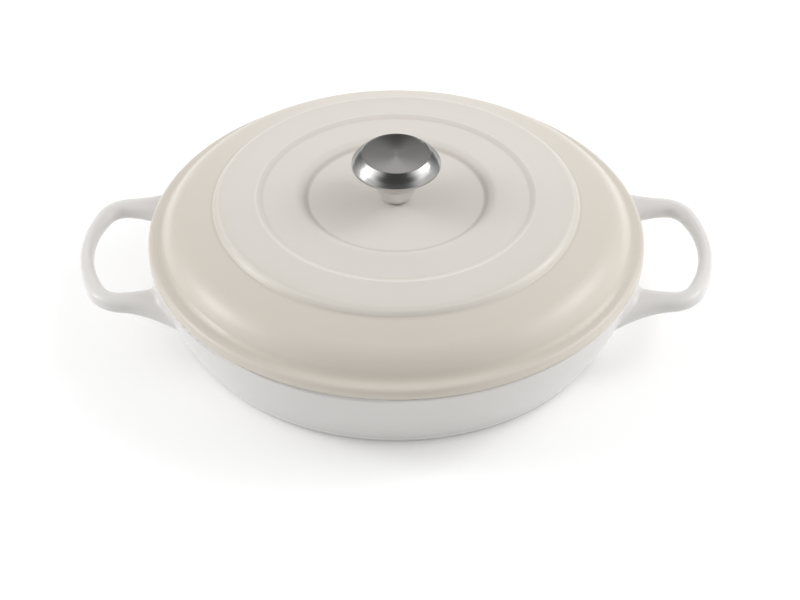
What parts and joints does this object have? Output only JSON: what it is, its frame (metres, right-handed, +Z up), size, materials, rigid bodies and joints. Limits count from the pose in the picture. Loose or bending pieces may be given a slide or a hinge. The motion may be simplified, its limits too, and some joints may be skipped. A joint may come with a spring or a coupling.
{
  "type": "braiser",
  "caption": "Shallow round braising pot with two loop handles, a domed lid with stepped rings that lifts off, and a turned steel knob screwed through the lid.",
  "frame": {"origin": "centre of the base, on the surface that the pot stands on", "axes": "+Z up through the knob, +X through the middle of one loop handle"},
  "size_m": [0.3972, 0.31, 0.1193],
  "materials": {
    "pot_enamel": "gloss enamel, near white",
    "lid_enamel": "gloss enamel, warm cream",
    "knob_cap_steel": "turned and brushed in circles",
    "knob_steel": "polished satin",
    "gasket_silicone": "matt",
    "fastener_steel": "plain stainless"
  },
  "bodies": {
    "pot": {"pot_body": "pot_enamel"},
    "lid": {"lid": "lid_enamel", "knob_cap": "knob_cap_steel", "knob_shell": "knob_steel", "knob_stem": "knob_steel", "knob_gasket": "gasket_silicone", "knob_insert": "fastener_steel", "flat_washer": "fastener_steel", "spring_washer": "fastener_steel", "knob_screw": "fastener_steel"}
  },
  "joints": [
    {"name": "lid_lift", "type": "slide", "parent": "pot", "child": "lid", "axis": [0, 0, 1], "range_m": [0, 0.12]}
  ]
}
